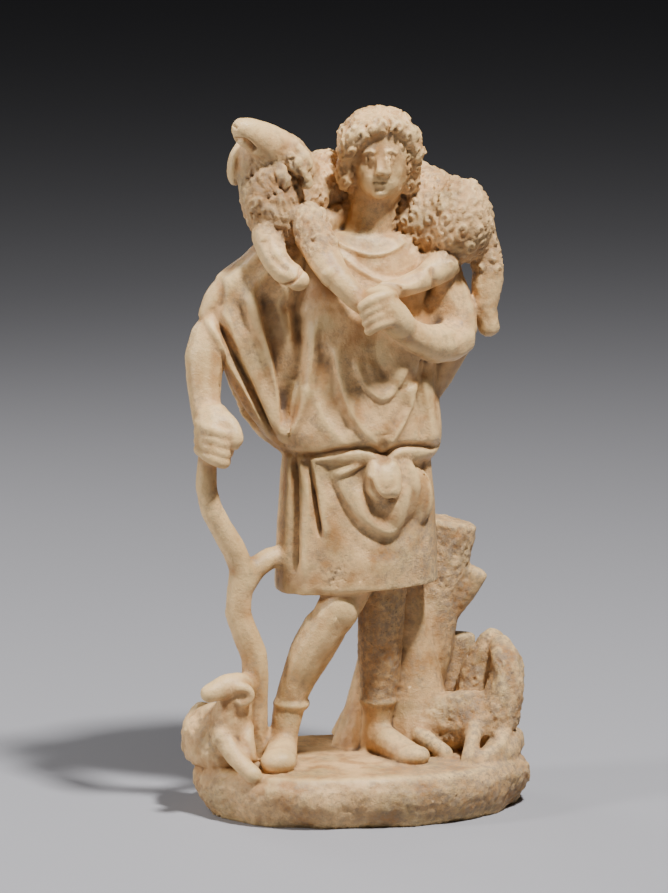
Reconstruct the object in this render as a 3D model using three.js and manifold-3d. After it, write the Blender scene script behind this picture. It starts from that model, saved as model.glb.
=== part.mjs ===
import * as THREE from "three";
import { mergeVertices } from "three/addons/utils/BufferGeometryUtils.js";
import Module from "manifold-3d";

// A marble statuette, carved with its plinth from one block: a young herdsman in a short
// belted tunic carries a sheep across his shoulders, leans on a crooked branch, and has
// a tree stump behind his leg and two animals lying at the ends of the plinth.
// Millimetres, +Z up, the viewer stands at -Y. The origin is the middle of the underside.

// Driving dimensions
const PLINTH_WIDTH = 242;
const PLINTH_FRONT = 79;
const PLINTH_BACK = 75;
const PLINTH_HEIGHT = 35;
const PLINTH_UNDERCUT = 9;
const FIGURE_HEIGHT = 460;
const FIGURE_OFFSET = 2;
const STAFF_THICKNESS = 18.5;
const BRANCH_THICKNESS = 15;
const STUMP_HEIGHT = 161;
const STUMP_TOP_WIDTH = 42;
const STUMP_FOOT_WIDTH = 84;
const RAM_HEIGHT = 70;
const LAMB_HEIGHT = 86;

// The figure is laid out on a grid of 460 steps from sole to crown, with z from the
// plinth's top. The two lying animals have grids of their own, from the plinth's ends.
const STEP = FIGURE_HEIGHT / 460;
const figureGrid = new THREE.Matrix4()
  .makeScale(STEP, STEP, STEP)
  .setPosition(FIGURE_OFFSET, 0, PLINTH_HEIGHT);
const ramStep = RAM_HEIGHT / 70;
const ramGrid = new THREE.Matrix4()
  .makeScale(ramStep, ramStep, ramStep)
  .setPosition(-PLINTH_WIDTH / 2, 0, PLINTH_HEIGHT);
const lambStep = LAMB_HEIGHT / 86;
const lambGrid = new THREE.Matrix4()
  .makeScale(lambStep, lambStep, lambStep)
  .setPosition(PLINTH_WIDTH / 2, 0, PLINTH_HEIGHT);

const wasm = await Module();
wasm.setup();

const SIDE = new THREE.Vector3(1, 0, 0);
const DEEP = new THREE.Vector3(0, 1, 0);

// A closed form drawn along a smooth spine. Each station is a place on the spine and two
// half widths: one along the direction "across", one square to it and to the spine.
// domes says how far each end bulges, as a share of its smaller half width, and caps how
// many rows of faces close it.
// relief gives the carving, in steps outwards, from the point, the angle round the spine
// and the share of the way along it. twist turns the columns of faces along the way.
function loft(stations, options = {}) {
  const { around = 12, rows = 6, across = SIDE, caps = 1, domes = [0.8, 0.8], twist = 0 } = options;
  const { relief, grid = figureGrid } = options;
  const spine = new THREE.CatmullRomCurve3(stations.map(([x, y, z]) => new THREE.Vector3(x, y, z)));
  const girth = new THREE.CatmullRomCurve3(stations.map(([, , , a, b]) => new THREE.Vector3(a, b, 0)));
  const allRows = rows + 2 * caps;
  const ball = new THREE.SphereGeometry(1, around, allRows);
  ball.deleteAttribute("normal");
  ball.deleteAttribute("uv");
  const form = mergeVertices(ball);
  const places = form.attributes.position;
  const point = new THREE.Vector3();
  const outward = new THREE.Vector3();
  for (let i = 0; i < places.count; i++) {
    point.fromBufferAttribute(places, i);
    const row = Math.round((Math.acos(THREE.MathUtils.clamp(point.y, -1, 1)) / Math.PI) * allRows);
    const column = Math.atan2(point.z, point.x);
    const t = spine.getUtoTmapping(THREE.MathUtils.clamp((row - caps) / rows, 0, 1));
    const tangent = spine.getTangent(t);
    const a = across.clone().addScaledVector(tangent, -across.dot(tangent)).normalize();
    const b = tangent.clone().cross(a);
    const half = girth.getPoint(t);
    const pastEnd = row < caps ? caps - row : Math.max(0, row - caps - rows);
    const angle = column + twist * t;
    const bend = (pastEnd / caps) * (Math.PI / 2);
    const bulge = Math.sin(bend) * Math.min(half.x, half.y) * (row < caps ? -domes[0] : domes[1]);
    point.copy(spine.getPoint(t)).addScaledVector(tangent, bulge);
    point.addScaledVector(a, Math.cos(angle) * Math.cos(bend) * half.x);
    point.addScaledVector(b, Math.sin(angle) * Math.cos(bend) * half.y);
    if (relief) {
      outward.copy(a).multiplyScalar(Math.cos(angle) * half.y);
      outward.addScaledVector(b, Math.sin(angle) * half.x).normalize();
      point.addScaledVector(outward, relief(point, column, t) * Math.cos(bend));
    }
    places.setXYZ(i, point.x, point.y, point.z);
  }
  form.applyMatrix4(grid);
  return solid(form);
}

// A closed geometry made into a solid, turned inside out first if its faces point inwards.
function solid(form) {
  const points = form.attributes.position.array;
  const corners = Array.from(form.index.array);
  const [p, q, r] = [new THREE.Vector3(), new THREE.Vector3(), new THREE.Vector3()];
  let volume = 0;
  for (let i = 0; i < corners.length; i += 3) {
    p.fromArray(points, 3 * corners[i]);
    q.fromArray(points, 3 * corners[i + 1]);
    r.fromArray(points, 3 * corners[i + 2]);
    volume += p.dot(q.cross(r));
  }
  if (volume < 0) corners.reverse();
  const mesh = new wasm.Mesh({
    numProp: 3,
    vertProperties: Float32Array.from(points),
    triVerts: Uint32Array.from(corners),
  });
  return new wasm.Manifold(mesh);
}

// Folds of cloth: every other column of faces is a ridge, from the angle "from" to "to",
// in degrees round the spine. reach holds the depth at the start and at the end of it.
const folds = (columns, from, to, reach) => (point, column, t) => {
  const turned = THREE.MathUtils.euclideanModulo(THREE.MathUtils.radToDeg(column) - from, 360);
  if (turned > to - from) return 0;
  const ridge = Math.cos((column * columns) / 2);
  return ridge * THREE.MathUtils.lerp(reach[0], reach[1], t);
};

// A roll of cloth that hangs in a curve on the front of a body: stations round an arc of
// an ellipse, from the angle "from" to "to" in degrees, thinner at its ends. The body's
// section [middle, deep, half width, half depth] says how far forward each one lies.
function swag([x, z], [halfWide, halfHigh], [from, to], body, thick, count = 7) {
  const [middle, deep, wide, halfDeep] = body;
  return Array.from({ length: count }, (_, i) => {
    const share = i / (count - 1);
    const angle = THREE.MathUtils.degToRad(THREE.MathUtils.lerp(from, to, share));
    const across = x + halfWide * Math.cos(angle);
    const front = deep - halfDeep * Math.sqrt(Math.max(0, 1 - ((across - middle) / wide) ** 2));
    const girth = thick * (0.55 + 0.45 * Math.sin(Math.PI * share));
    return [across, front + girth * 0.5, z + halfHigh * Math.sin(angle), girth, girth];
  });
}

const carved = (cuts) => (...place) => cuts.reduce((sum, cut) => sum + cut(...place), 0);

// Tufts of wool or curls of hair: rounded lumps of one size, in shifted rows.
const tufts = (size, height) => (point) => {
  const [x, y, z] = [point.x / size, point.y / size, point.z / size].map((value) => value * Math.PI);
  return height * (Math.sin(x + 0.7 * z) * Math.cos(z - 0.4 * y) + 0.6 * Math.sin(y + 1.3 * x));
};

// Plinth: a low rough slab, flatter behind, wavy in plan, with its foot drawn in.
function plinth() {
  const middle = (PLINTH_BACK - PLINTH_FRONT) / 2;
  const halfDeep = (PLINTH_BACK + PLINTH_FRONT) / 2;
  const halfWide = PLINTH_WIDTH / 2;
  const ring = (share, inset) => [0, middle, PLINTH_HEIGHT * share, halfWide - inset, halfDeep - inset];
  const rough = (point) => {
    const angle = Math.atan2(point.y, point.x);
    const corner = 4 * Math.sin(2 * angle) ** 2 * (point.y > 0 ? 1.2 : 0.3);
    return corner + 1.3 * Math.sin(5 * angle + 0.4) + 0.9 * Math.sin(9 * angle + point.z / 9) - 1.5;
  };
  return loft(
    [
      ring(0, PLINTH_UNDERCUT),
      ring(0.3, PLINTH_UNDERCUT * 0.35),
      ring(0.62, 0),
      ring(0.86, PLINTH_UNDERCUT * 0.15),
      ring(1, PLINTH_UNDERCUT * 0.75),
    ],
    { around: 28, rows: 4, domes: [0, 0], relief: rough, grid: new THREE.Matrix4() },
  );
}

// Tree stump behind the straight leg: wide at the foot, leaning out, sawn off flat, with
// a cut side shoot, one root that runs forward beside the boot, and a web of stone left
// between the trunk and the leg.
function stump() {
  const high = STUMP_HEIGHT / STEP;
  const foot = STUMP_FOOT_WIDTH / 2 / STEP;
  const top = STUMP_TOP_WIDTH / 2 / STEP;
  const ring = (share, x, y, wide, deep) => [x, y, share * high, wide, deep];
  const bark = (point) => 1.1 * Math.sin(point.x / 4 + point.z / 21) * Math.cos(point.y / 6);
  const trunk = loft(
    [
      ring(-0.02, 24, 42, foot, foot * 0.62),
      ring(0.11, 29, 42, foot * 0.85, foot * 0.57),
      ring(0.29, 37, 41, foot * 0.72, foot * 0.52),
      ring(0.5, 48, 40, top * 1.17, top),
      ring(0.68, 56, 39, top * 1.06, top * 0.9),
      ring(0.86, 63, 38, top * 0.97, top * 0.86),
      ring(1, 68, 38, top, top * 0.86),
    ],
    { around: 12, rows: 6, domes: [0, 0], relief: bark },
  );
  const shoot = loft(
    [
      ring(0.6, 70, 37, 8, 8),
      ring(0.69, 81, 34, 7.5, 7.5),
      ring(0.775, 89, 31, 7, 7),
    ],
    { around: 8, rows: 2, domes: [0, 0.15] },
  );
  const root = loft(
    [
      ring(0.24, 50, 32, 10, 10),
      ring(0.15, 43, 17, 9, 8),
      ring(0.03, 31, 8, 8, 6),
    ],
    { around: 7, rows: 2 },
  );
  const slab = loft(
    [
      ring(-0.02, 83, 47, 19, 13),
      ring(0.2, 81, 48, 17, 11),
      ring(0.41, 79, 49, 14, 9),
    ],
    { around: 7, rows: 2, domes: [0, 0.2] },
  );
  const web = loft(
    [
      ring(-0.02, 44, 28, 28, 24),
      ring(0.16, 40, 29, 24, 20),
      ring(0.4, 34, 31, 19, 16),
      ring(0.72, 30, 31, 14, 13),
    ],
    { around: 8, rows: 3 },
  );
  return [trunk, shoot, root, slab, web];
}

// Crooked branch that he leans on, with the forked stub that ties it to the tunic.
function staff() {
  const thick = STAFF_THICKNESS / 2 / STEP;
  const course = [
    [-112, -21, 232, 0.66],
    [-114, -20, 208, 0.78],
    [-113, -20, 191, 0.86],
    [-106, -19, 176, 0.87],
    [-98, -17, 161, 0.9],
    [-90, -15, 147, 0.95],
    [-88, -13, 132, 0.97],
    [-91, -12, 118, 1],
    [-90, -12, 104, 1],
    [-84, -12, 89, 1.02],
    [-79, -12, 75, 1.04],
    [-79, -12, 58, 1],
    [-79, -12, 40, 0.98],
    [-79, -11, 18, 1],
    [-79, -10, -4, 1.2],
  ];
  const stem = loft(
    course.map(([x, y, z, share]) => [x, y, z, thick * share, thick * share]),
    { around: 7, rows: 15 },
  );
  const stubThick = BRANCH_THICKNESS / 2 / STEP;
  const stub = loft(
    [
      [-88, -13, 128, stubThick * 1.2, stubThick * 1.2],
      [-79, -11, 140, stubThick * 1.08, stubThick * 1.08],
      [-69, -8, 146, stubThick, stubThick],
      [-54, -4, 147, stubThick, stubThick],
    ],
    { around: 8, rows: 3, across: DEEP },
  );
  return [stem, stub];
}

// Legs: the bent one and the straight one, each in a soft boot with a rolled cuff.
function legs() {
  const bent = loft(
    [
      [-8, -8, 140, 18, 18],
      [-14, -15, 124, 16.5, 17],
      [-23, -20, 108, 15, 16],
      [-37, -17, 87, 13, 14.5],
      [-43, -13, 74, 13.3, 15],
      [-48, -10, 60, 12, 13],
      [-52, -9, 49, 10.8, 11.5],
      [-54, -9, 42, 13, 13.5],
      [-55.5, -9, 35, 10.8, 11],
      [-58, -10, 22, 9.8, 10.8],
      [-60, -11, 10, 10.5, 12],
      [-60, -12, -3, 11, 13],
    ],
    { around: 9, rows: 12 },
  );
  const straight = loft(
    [
      [16, 6, 140, 19, 19],
      [14, 4, 120, 17, 18],
      [13, 2, 104, 16, 17],
      [13, 6, 88, 15.8, 17.5],
      [13, 9, 70, 15.5, 17.5],
      [13, 10, 54, 14, 15],
      [12, 10, 44, 12, 12.5],
      [12, 10, 37, 13.5, 14],
      [12, 11, 29, 10.6, 11],
      [11, 12, 14, 9.8, 11],
      [10, 14, -3, 10.5, 12.5],
    ],
    { around: 9, rows: 10 },
  );
  const bentFoot = loft(
    [
      [-59, 4, 7, 8.5, 8],
      [-60, -12, 11, 10.5, 12],
      [-64, -29, 10, 12, 9.5],
      [-68, -43, 7, 12.5, 7.5],
    ],
    { around: 8, rows: 4 },
  );
  const straightFoot = loft(
    [
      [6, 25, 7, 8, 8.5],
      [12, 8, 11, 9.5, 12],
      [22, -12, 8, 10.5, 9],
      [32, -30, 5, 11, 6.5],
    ],
    { around: 8, rows: 4 },
  );
  return [bent, straight, bentFoot, straightFoot];
}

// Skirt of the tunic: pleats at the left and all round the back, a plain hem, and a
// deep swag under the knotted belt.
function skirt() {
  const columns = 32;
  const cloth = loft(
    [
      [-5, 2, 126, 57.5, 41],
      [-5.5, 2, 132, 58.5, 42.5],
      [-5, 2, 149, 56.5, 41],
      [-4.6, 2, 170, 55.5, 39.5],
      [-5, 2, 198, 53.7, 37],
      [-5, 2, 224, 51, 34],
    ],
    {
      around: columns,
      rows: 5,
      domes: [0.02, 0],
      relief: carved([folds(columns, 195, 245, [1, 2]), folds(columns, 15, 165, [1.6, 1.8])]),
    },
  );
  const drape = loft(
    swag([16, 203], [27, 37], [188, 350], [-5, 2, 54, 38], 6.5),
    { around: 6, rows: 7, across: DEEP },
  );
  return [cloth, drape];
}

// Knotted belt: a knot and the loop that hangs from it, in front.
function knot() {
  const loop = loft(
    [
      [2, -35, 216, 6, 5],
      [1, -38, 204, 9, 6],
      [9, -39, 193, 9, 6],
      [15, -38, 204, 8, 6],
      [13, -35, 216, 6, 5],
    ],
    { around: 6, rows: 5, across: DEEP },
  );
  return [loop];
}

// Blouse of the tunic, puffed over the belt. Its folds lean towards the lowered arm, and
// two hang in curves from the raised one.
function blouse() {
  const columns = 32;
  const cloth = loft(
    [
      [-2, 2, 210, 47, 31],
      [-2, 1, 217, 55, 37],
      [-2, 1, 229, 56, 38],
      [-2, 2, 254, 54.5, 37.5],
      [-2, 4, 284, 53, 36.5],
      [-3, 6, 314, 54, 35],
      [-1, 8, 340, 52, 31],
      [3, 9, 356, 45, 28],
      [3, 9, 369, 33, 23],
    ],
    {
      around: columns,
      rows: 6,
      domes: [0.1, 0.3],
      twist: 0.5,
      relief: carved([folds(columns, 225, 315, [1.6, 0.6]), folds(columns, 30, 150, [2, 0.8])]),
    },
  );
  const deep = loft(
    swag([17, 292], [19, 30], [190, 345], [-2, 3, 54, 37], 5.2),
    { around: 6, rows: 5, across: DEEP },
  );
  return [cloth, deep];
}

// Wide sleeve over the lowered arm: it hangs from the shoulder, opens round the arm and
// its folds run to a point at the waist. The hollow inside its mouth is cut out.
function sleeve() {
  const columns = 20;
  const cloth = loft(
    [
      [-42, 8, 374, 11, 16],
      [-54, 7, 357, 21, 20],
      [-63, 5, 341, 27, 21],
      [-74, 4, 323, 36, 20],
      [-66, 4, 300, 41, 20],
      [-60, 5, 275, 39, 19],
      [-54, 5, 250, 30, 18],
      [-49, 3, 234, 21, 17],
      [-44, 2, 222, 12, 12],
    ],
    { around: columns, rows: 9, relief: folds(columns, 0, 360, [1.8, 1.6]) },
  );
  const mouth = loft(
    [
      [-116, 0, 316, 6, 5],
      [-106, 4, 296, 9, 7],
      [-98, 5, 276, 9, 7],
      [-86, 3, 254, 7, 5],
      [-74, 1, 238, 4, 3],
    ],
    { around: 7, rows: 5 },
  );
  return cloth.subtract(mouth);
}

// Lowered arm with its fist closed over the top of the branch.
function loweredArm() {
  const fingers = 4;
  const arm = loft(
    [
      [-86, 5, 322, 10, 11],
      [-103, 4, 311, 13, 13],
      [-112, -1, 292, 14, 14],
      [-113.5, -6, 274, 12.3, 12.5],
      [-113.5, -12, 258, 10.6, 10.5],
      [-112, -18, 245, 11, 10.5],
    ],
    { around: 8, rows: 6 },
  );
  const knuckles = (point, column, t) => 0.9 * Math.cos(2 * Math.PI * fingers * t);
  const fist = loft(
    [
      [-111, -18, 252, 11, 11],
      [-108, -24, 241, 15, 15],
      [-108, -25, 232, 14.5, 14.5],
      [-110, -24, 224, 11, 12],
    ],
    { around: 9, rows: 2 * fingers, relief: knuckles },
  );
  const thumb = loft(
    [
      [-103, -26, 248, 5, 5],
      [-98, -32, 240, 6.2, 6.2],
      [-97, -33, 231, 5.4, 5.4],
    ],
    { around: 7, rows: 2 },
  );
  return [arm, fist, thumb];
}

// Raised arm: the elbow at his side, the forearm across the chest, the hand over the
// sheep's gathered feet, and a corner of cloth that hangs behind the elbow.
function raisedArm() {
  const upper = loft(
    [
      [44, 8, 354, 20, 20],
      [56, 6, 334, 17, 18],
      [65, 3, 315, 14.5, 16],
      [67, -3, 301, 13.5, 14],
    ],
    { around: 8, rows: 4 },
  );
  const fore = loft(
    [
      [68, -4, 300, 13.5, 13.5],
      [55, -15, 296, 13.5, 14.5],
      [40, -27, 299, 12, 12.5],
      [25, -37, 307, 10, 10],
      [12, -44, 318, 9, 9.5],
    ],
    { around: 8, rows: 6, across: DEEP },
  );
  const hand = loft(
    [
      [16, -43, 314, 9, 10],
      [6, -49, 325, 9, 13],
      [-3, -50, 335, 8, 12],
    ],
    { around: 9, rows: 2, across: DEEP },
  );
  const knuckles = loft(
    [
      [12, -47, 336, 4.5, 4.5],
      [3, -54, 334, 5.5, 6],
      [-9, -54, 322, 5, 5.5],
    ],
    { around: 7, rows: 3 },
  );
  const corner = loft(
    [
      [50, 12, 330, 24, 22],
      [55, 13, 304, 23, 20],
      [55, 13, 284, 22, 18],
      [47, 11, 268, 15, 15],
      [42, 8, 252, 9, 13],
    ],
    { around: 9, rows: 4, domes: [0.3, 0.4] },
  );
  return [upper, fore, hand, corner, knuckles];
}

// Neck and head. The face is a plain one of calm, even proportions: the eyes halfway
// down the head, the nose a third of the face. Short curls frame it and cover the ears.
function head() {
  const neck = loft(
    [
      [1, 8, 350, 25, 21],
      [2, 7, 368, 19, 17],
      [5, 5, 385, 17, 16],
      [9, 4, 404, 17, 17],
    ],
    { around: 10, rows: 4 },
  );
  const middle = 11;
  const skull = loft(
    [
      [middle, -9, 400, 12, 13],
      [middle, -5, 408, 18, 19],
      [middle, -2, 417, 21.5, 24],
      [middle, 1, 428, 23.5, 26.5],
      [middle, 3, 440, 23.5, 26.5],
      [middle, 4, 450, 18, 21],
    ],
    { around: 12, rows: 5, caps: 2, domes: [0.3, 0.3] },
  );
  const nose = loft(
    [
      [middle, -22, 432, 2.4, 4],
      [middle, -26, 423, 3, 4.5],
      [middle, -27, 416, 4, 4],
    ],
    { around: 6, rows: 2 },
  );
  const curls = tufts(7, 1.3);
  const cap = loft(
    [
      [12, 15, 402, 19, 15],
      [12, 12, 414, 25, 21],
      [12, 9, 429, 28, 25],
      [12, 7, 442, 27, 26],
      [12, 6, 451, 21, 21],
    ],
    { around: 14, rows: 5, caps: 2, domes: [0.4, 0.35], relief: curls },
  );
  const frame = loft(
    [
      [-10, 2, 405, 6, 7],
      [-13, -4, 418, 6.5, 7],
      [-12, -12, 433, 6.5, 7],
      [-4, -18, 445, 6.5, 7],
      [11, -20, 448, 6, 6],
      [25, -18, 445, 6.5, 7],
      [32, -12, 433, 6, 7],
      [33, -5, 417, 6, 7],
      [31, 2, 402, 6, 7],
    ],
    { around: 6, rows: 14, across: DEEP, relief: tufts(6, 1.4) },
  );
  return [neck, skull, nose, cap, frame];
}

// Sheep across the shoulders: body and rump, head raised at the left, two forelegs and
// one hind leg drawn to the hand, the other hind leg hanging behind the elbow.
function carriedSheep() {
  const wool = tufts(9, 1.4);
  const body = loft(
    [
      [-58, 2, 394, 18, 22],
      [-42, 12, 397, 20, 28],
      [-20, 26, 398, 20, 25],
      [8, 36, 400, 18, 21],
      [34, 28, 395, 21, 24],
      [52, 14, 380, 25, 33],
      [67, 6, 377, 24, 32],
      [78, 4, 375, 17, 25],
    ],
    { around: 12, rows: 9, caps: 2, across: DEEP, relief: wool },
  );
  const breast = loft(
    [
      [-62, -4, 428, 17, 13],
      [-66, -5, 416, 21, 17],
      [-65, -6, 402, 22, 19],
      [-63, -5, 388, 21, 18],
      [-57, -2, 374, 19, 14],
    ],
    { around: 12, rows: 4, relief: wool },
  );
  const skull = loft(
    [
      [-44, 4, 413, 13, 15],
      [-56, -5, 426, 14, 16],
      [-68, -14, 436, 12, 14],
      [-80, -22, 443.5, 9.5, 11],
      [-88, -28, 448, 8.5, 9.5],
    ],
    { around: 12, rows: 6, caps: 2, across: DEEP },
  );
  const farEar = loft(
    [
      [-80, -6, 441, 3.5, 4.5],
      [-89, -3, 428, 4, 6],
      [-91, -1, 413, 3.5, 5],
    ],
    { around: 6, rows: 2 },
  );
  const nearEar = loft(
    [
      [-54, -14, 438, 4, 4],
      [-47, -19, 430, 5, 4],
      [-41, -20, 421, 4, 3.5],
    ],
    { around: 6, rows: 2 },
  );
  const limbs = [
    [[-72, -14, 377, 10, 10.5], [-67, -24, 360, 9.5, 10], [-60, -31, 350, 9.5, 9], [-53, -34, 347, 9, 8.5]],
    [[-41, -12, 386, 13, 12], [-34, -26, 364, 11, 10.5], [-26, -37, 348, 9.5, 9.5], [-12, -44, 332, 8, 8.5],
      [3, -46, 322, 7.5, 8]],
    [[56, -8, 352, 13, 12], [38, -24, 343, 8.5, 9], [20, -36, 339, 7, 7.5], [2, -43, 335, 6.5, 7]],
    [[80, 12, 376, 14, 15], [88, 11, 352, 9, 10], [88.5, 9, 337, 10.5, 10], [87, 9, 325, 10, 9.5],
      [88, 8, 312, 8, 8], [89, 7, 301, 6, 6]],
  ].map((stations) => loft(stations, { around: 7, rows: 5 }));
  return [body, breast, skull, farEar, nearEar, ...limbs];
}

// Ram lying at the left end, its head towards the viewer's left, a low curled horn, one
// hind leg along the plinth's end and the forelegs reaching over the rim.
function ram() {
  const grid = ramGrid;
  const body = loft(
    [
      [9, 27, 14, 9, 12],
      [10, 14, 17, 13, 19],
      [15, 0, 20, 15, 22],
      [22, -12, 21, 14.5, 23],
      [28, -22, 19, 10, 20],
    ],
    { around: 12, rows: 5, grid },
  );
  const neck = loft(
    [[23, -16, 24, 14, 15], [27, -20, 42, 13, 13], [31, -21, 55, 9.5, 9.5]],
    { around: 9, rows: 3, grid },
  );
  const skull = loft(
    [[36, -20, 57, 8, 9], [26, -25, 60, 8.5, 9.5], [15, -30, 58, 7, 7.5], [7, -34, 56, 5.5, 6]],
    { around: 9, rows: 4, caps: 2, across: DEEP, grid },
  );
  const turns = Array.from({ length: 6 }, (_, i) => {
    const angle = THREE.MathUtils.degToRad(120 - 58 * i);
    return [32 + 6.5 * Math.cos(angle), -33, 54 + 6.5 * Math.sin(angle), 3.6 - 0.3 * i, 3.6 - 0.3 * i];
  });
  const horn = loft(turns.slice(0, 5), { around: 6, rows: 6, across: DEEP, grid });
  const limbs = [
    [[7, 22, 24, 8, 13], [2, 8, 16, 8, 12], [6, -8, 9, 7, 8], [15, -20, 5, 6, 5]],
    [[18, -24, 24, 8, 9], [27, -39, 11, 6.5, 7], [38, -54, 1, 6, 5.5]],
    [[35, -22, 31, 6, 6.5], [36, -32, 19, 5, 6], [38, -36, 8, 4.5, 5.5]],
  ].map((stations) => loft(stations, { around: 7, rows: 4, grid }));
  return [body, neck, skull, horn, ...limbs];
}

// Lamb lying at the right end, its legs folded under it, its neck raised, and its worn
// head turned up and back over the rock behind it.
function lamb() {
  const grid = lambGrid;
  const wool = tufts(8, 1.1);
  const body = loft(
    [
      [-77, 14, 14, 12, 12],
      [-65, 12, 18, 15, 20],
      [-49, 6, 21, 16, 22],
      [-33, -2, 22, 15, 22],
      [-22, -6, 20, 11, 18],
    ],
    { around: 10, rows: 5, across: DEEP, relief: wool, grid },
  );
  const neck = loft(
    [[-24, -6, 22, 14, 14], [-20, -5, 42, 12, 13], [-18, -1, 60, 9.5, 11], [-21, 6, 71, 7, 8]],
    { around: 9, rows: 4, relief: wool, grid },
  );
  const skull = loft(
    [[-36, 22, 28, 14, 13], [-32, 23, 48, 15, 14], [-26, 22, 66, 13, 12], [-22, 20, 77, 9, 9]],
    { around: 10, rows: 4, caps: 2, grid },
  );
  const limbs = [
    [[-41, -10, 22, 8, 9], [-45, -24, 13, 5.5, 6.5], [-50, -36, 3, 6, 5.5]],
    [[-22, -8, 18, 8, 9], [-25, -26, 9, 5.5, 6], [-40, -37, 4, 5, 5]],
    [[-81, 0, 14, 7, 8], [-72, -12, 10, 5, 6], [-62, -22, 4, 5, 5]],
  ].map((stations) => loft(stations, { around: 7, rows: 4, grid }));
  return [body, neck, skull, ...limbs];
}

const forms = [
  plinth(),
  ...stump(),
  ...staff(),
  ...legs(),
  ...skirt(),
  ...knot(),
  ...blouse(),
  sleeve(),
  ...loweredArm(),
  ...raisedArm(),
  ...head(),
  ...carriedSheep(),
  ...ram(),
  ...lamb(),
];
const block = forms.reduce((whole, form) => whole.add(form)).getMesh();

const geometry = new THREE.BufferGeometry();
geometry.setAttribute("position", new THREE.BufferAttribute(Float32Array.from(block.vertProperties), 3));
geometry.setIndex(Array.from(block.triVerts));
geometry.computeVertexNormals();

const marble = new THREE.MeshStandardMaterial({ color: 0xd9c5a0, roughness: 0.55, metalness: 0 });
const statuette = new THREE.Mesh(geometry, marble);
statuette.name = "statuette";

const group = new THREE.Group();
group.add(statuette);
export default group;
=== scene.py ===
import bpy
import bmesh
import math
import numpy as np
from mathutils import Matrix, Vector, kdtree, noise


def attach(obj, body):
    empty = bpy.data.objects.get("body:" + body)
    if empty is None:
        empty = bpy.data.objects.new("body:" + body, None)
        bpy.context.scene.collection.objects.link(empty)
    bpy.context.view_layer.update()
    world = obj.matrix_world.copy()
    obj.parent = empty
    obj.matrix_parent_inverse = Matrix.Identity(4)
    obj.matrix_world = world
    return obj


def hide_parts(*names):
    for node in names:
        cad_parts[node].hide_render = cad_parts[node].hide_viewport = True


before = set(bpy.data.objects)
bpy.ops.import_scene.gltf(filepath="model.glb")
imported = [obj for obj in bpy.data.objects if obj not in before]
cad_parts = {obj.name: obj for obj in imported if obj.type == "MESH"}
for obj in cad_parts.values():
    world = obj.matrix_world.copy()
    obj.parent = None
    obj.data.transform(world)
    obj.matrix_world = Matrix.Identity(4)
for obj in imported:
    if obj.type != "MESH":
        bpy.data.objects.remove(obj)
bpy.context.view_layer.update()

# Studio: a wide plain floor, a soft key light high up on the right, a weaker one from the left
# and a rim light behind. The camera looks down a little, from a little to the left.
CAMERA_TURN = math.radians(-9.0)
CAMERA_DROP = math.radians(9.5)
CAMERA_DISTANCE = 3.0
CAMERA_LENS = 172.84
LOOK_AT = Vector((-0.0192, 0.0, 0.2577))
LIGHTS_AIM = Vector((0, 0, 0.25))
FLOOR_COLOUR = "#949397"
FLOOR_HALF = 30
ROOM_COLOUR = "#C9C9CE"
ROOM_STRENGTH = 0.035


def linear(code):
    """An sRGB hex colour as linear RGBA."""
    parts = [int(code[i:i + 2], 16) / 255 for i in (1, 3, 5)]
    return [p / 12.92 if p <= 0.04045 else ((p + 0.055) / 1.055) ** 2.4 for p in parts] + [1.0]


def aim(place, target):
    """A matrix at a place whose -Z looks at the target, with +Z of the world up."""
    back = (place - target).normalized()
    right = Vector((0, 0, 1)).cross(back).normalized()
    turn = Matrix((right, back.cross(right), back)).transposed()
    return Matrix.Translation(place) @ turn.to_4x4()


towards_camera = Vector((
    math.sin(CAMERA_TURN) * math.cos(CAMERA_DROP),
    -math.cos(CAMERA_TURN) * math.cos(CAMERA_DROP),
    math.sin(CAMERA_DROP),
))
camera_data = bpy.data.cameras.new("camera")
camera_data.sensor_width = 36
camera_data.lens = CAMERA_LENS
camera_data.clip_end = 50
camera = bpy.data.objects.new("camera", camera_data)
camera.matrix_world = aim(LOOK_AT + towards_camera * CAMERA_DISTANCE, LOOK_AT)
bpy.context.scene.collection.objects.link(camera)
bpy.context.scene.camera = camera

for name, place, size, power in (
    ("key", (0.5, -0.85, 2.2), 0.22, 118),
    ("side", (-1.9, -0.25, 1.0), 0.4, 30),
    ("rim", (-0.9, 1.4, 1.2), 0.6, 9),
):
    lamp = bpy.data.lights.new(name, "AREA")
    lamp.size = size
    lamp.energy = power
    lamp_object = bpy.data.objects.new(name, lamp)
    lamp_object.matrix_world = aim(Vector(place), LIGHTS_AIM)
    bpy.context.scene.collection.objects.link(lamp_object)
world = bpy.data.worlds.new("studio")
world.use_nodes = True
world.node_tree.nodes["Background"].inputs["Color"].default_value = linear(ROOM_COLOUR)
world.node_tree.nodes["Background"].inputs["Strength"].default_value = ROOM_STRENGTH
bpy.context.scene.world = world


def add_node(material, kind, links=(), **settings):
    """A node with its settings; links are (input, output socket or value)."""
    node = material.node_tree.nodes.new(kind)
    for key, value in settings.items():
        setattr(node, key, value)
    for key, value in links:
        if isinstance(value, bpy.types.NodeSocket):
            material.node_tree.links.new(value, node.inputs[key])
        else:
            node.inputs[key].default_value = value
    return node


floor_paint = bpy.data.materials.new("studio_floor")
floor_paint.use_nodes = True
floor_shader = floor_paint.node_tree.nodes["Principled BSDF"]
floor_shader.inputs["Base Color"].default_value = linear(FLOOR_COLOUR)
floor_shader.inputs["Roughness"].default_value = 0.75
floor_form = bmesh.new()
bmesh.ops.create_grid(floor_form, x_segments=1, y_segments=1, size=FLOOR_HALF)
floor_mesh = bpy.data.meshes.new("floor")
floor_form.to_mesh(floor_mesh)
floor_form.free()
floor = bpy.data.objects.new("floor", floor_mesh)
floor_mesh.materials.append(floor_paint)
bpy.context.scene.collection.objects.link(floor)

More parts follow.
